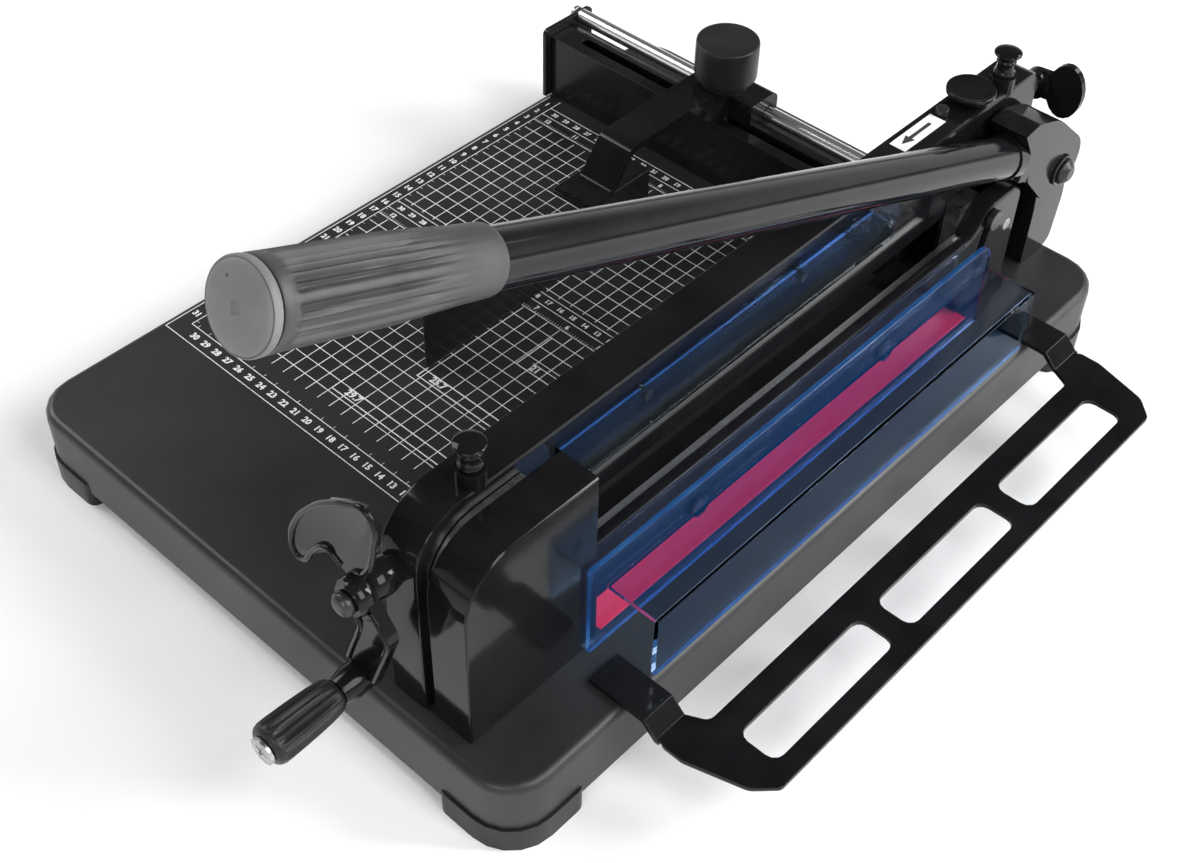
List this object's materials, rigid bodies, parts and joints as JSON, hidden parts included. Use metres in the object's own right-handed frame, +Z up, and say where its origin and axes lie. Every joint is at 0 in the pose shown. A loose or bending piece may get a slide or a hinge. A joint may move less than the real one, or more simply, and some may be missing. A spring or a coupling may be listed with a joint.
{
  "type": "stack paper cutter",
  "caption": "Stack paper cutter: a lever drives a sliding blade beside a beam, a crank lowers the clamp bar, and a paper stop slides on a rod over the table.",
  "frame": {"origin": "middle of the bounding box, at the undersides of the feet", "axes": "+Z up; +Y along the blade from the operator to the fence; +X towards the side where the cut strips fall"},
  "size_m": [0.4672, 0.6116, 0.3812],
  "materials": {
    "satin_black": "satin black powder coat",
    "gloss_black": "gloss black enamel",
    "plain_steel": "plain steel",
    "blade_steel": "ground blade steel",
    "black_zinc": "black zinc plated",
    "chrome": "polished chrome",
    "dark_rubber": "matte rubber",
    "black_plastic": "satin plastic",
    "clear_blue": "clear blue acrylic",
    "crimson": "satin crimson plastic",
    "label_white": "printed label"
  },
  "bodies": {
    "base": {"base_housing": "satin_black", "main_frame": "gloss_black", "front_cover": "gloss_black", "tray_frame": "gloss_black", "pivot_post": "gloss_black", "pivot_bolt": "gloss_black", "pivot_washer": "gloss_black", "fence_channel": "gloss_black", "fence_end_plate": "gloss_black", "rod_bracket": "gloss_black", "base_cover": "plain_steel", "stick_channel": "plain_steel", "front_frame_bolt": "plain_steel", "back_frame_bolt": "plain_steel", "post_bolt": "plain_steel", "front_guide_block": "plain_steel", "back_guide_block": "plain_steel", "front_guide_bolt": "black_zinc", "back_guide_bolt": "black_zinc", "cover_bolt": "black_zinc", "guard_screw_1": "black_zinc", "guard_screw_2": "black_zinc", "pivot_nut": "black_zinc", "fence_screw_1": "black_zinc", "fence_screw_2": "black_zinc", "rod_screw": "black_zinc", "brake_screw": "black_zinc", "guide_rod": "chrome", "foot_front_left": "dark_rubber", "foot_front_right": "dark_rubber", "foot_back_left": "dark_rubber", "foot_back_right": "dark_rubber", "top_guard": "clear_blue", "side_guard": "clear_blue", "cutting_stick": "crimson", "arrow_label": "label_white"},
    "lever": {"lever_head": "gloss_black", "lever_tube": "gloss_black", "lever_grip": "dark_rubber", "grip_cap": "dark_rubber"},
    "carrier": {"blade_carrier": "gloss_black", "blade": "blade_steel", "blade_screw_1": "black_zinc", "blade_screw_2": "black_zinc", "drive_pin": "black_zinc"},
    "clamp": {"clamp_bar": "gloss_black", "front_clamp_rod": "plain_steel", "back_clamp_rod": "plain_steel", "front_rod_knob": "gloss_black", "back_rod_knob": "gloss_black"},
    "crank": {"clamp_shaft": "plain_steel", "crank_arm": "gloss_black", "crank_nut": "black_zinc", "rear_paddle": "gloss_black", "grip_screw": "black_zinc"},
    "crank_handle": {"crank_grip": "black_plastic"},
    "stop": {"slider_bracket": "gloss_black", "paper_stop": "gloss_black"},
    "stop_knob": {"lock_knob": "black_plastic"},
    "brake": {"brake_disc": "gloss_black"}
  },
  "joints": [
    {"name": "lever_swing", "type": "hinge", "parent": "base", "child": "lever", "pos_m": [0.10065, 0.27085, 0.12], "axis": [-1, 0, 0], "range_deg": [0, 59.5]},
    {"name": "carrier_slide", "type": "slide", "parent": "base", "child": "carrier", "axis": [0, 0.2079, 0.9781], "range_m": [0, 0.04304]},
    {"name": "crank_turn", "type": "hinge", "parent": "base", "child": "crank", "pos_m": [0.06965, -0.22465, 0.146], "axis": [0, -1, 0], "range_deg": [0, 344]},
    {"name": "clamp_slide", "type": "slide", "parent": "base", "child": "clamp", "axis": [0, 0, 1], "range_m": [0, 0.039]},
    {"name": "crank_grip_spin", "type": "hinge", "parent": "crank", "child": "crank_handle", "pos_m": [0.06665, -0.22465, 0.086], "axis": [0, 1, 0], "continuous": true},
    {"name": "stop_slide", "type": "slide", "parent": "base", "child": "stop", "axis": [1, 0, 0], "range_m": [-0.11, 0.1]},
    {"name": "lock_knob_turn", "type": "hinge", "parent": "stop", "child": "stop_knob", "pos_m": [-0.08835, 0.1991, 0.121], "axis": [0, 0, 1], "range_deg": [0, 180]},
    {"name": "brake_turn", "type": "hinge", "parent": "base", "child": "brake", "pos_m": [0.07265, 0.21485, 0.178], "axis": [0, 0, 1], "range_deg": [0, 90]}
  ],
  "couplings": [
    {"joint": "carrier_slide", "follows": "lever_swing", "m_per_rad": 0.041348},
    {"joint": "crank_turn", "follows": "clamp_slide", "rad_per_m": 153.85}
  ]
}
